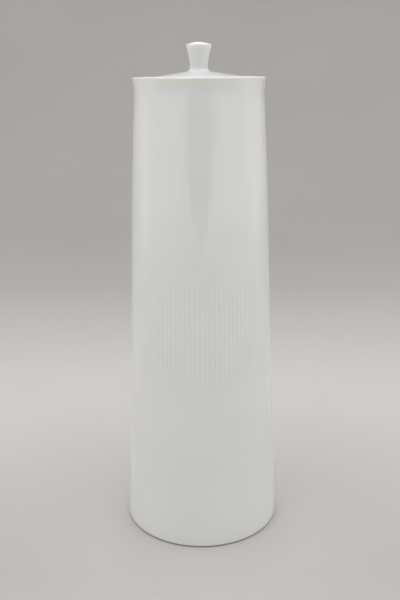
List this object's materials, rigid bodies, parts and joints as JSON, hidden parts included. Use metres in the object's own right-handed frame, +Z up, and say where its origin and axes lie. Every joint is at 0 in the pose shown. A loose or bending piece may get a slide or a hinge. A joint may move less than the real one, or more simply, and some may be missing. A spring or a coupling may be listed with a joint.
{
  "type": "lidded porcelain jar",
  "caption": "Tall tapered white porcelain storage jar with a flared rim and a recessed lift-off lid that has a small flaring knob.",
  "frame": {"origin": "centre of the foot ring, on the surface that the jar stands on", "axes": "+Z up along the jar's axis, towards the knob; X and Y are any two directions across it, as the jar is round"},
  "size_m": [0.1068, 0.1068, 0.3203],
  "materials": {
    "jar_glaze": "clear glossy glaze over white porcelain, bare ground foot ring",
    "lid_glaze": "clear glossy glaze over white porcelain, bare ground seat under the edge"
  },
  "bodies": {
    "jar": {"jar_body": "jar_glaze"},
    "lid": {"lid": "lid_glaze"}
  },
  "joints": [
    {"name": "lid_lift", "type": "slide", "parent": "jar", "child": "lid", "axis": [0, 0, 1], "range_m": [0, 0.085]}
  ]
}
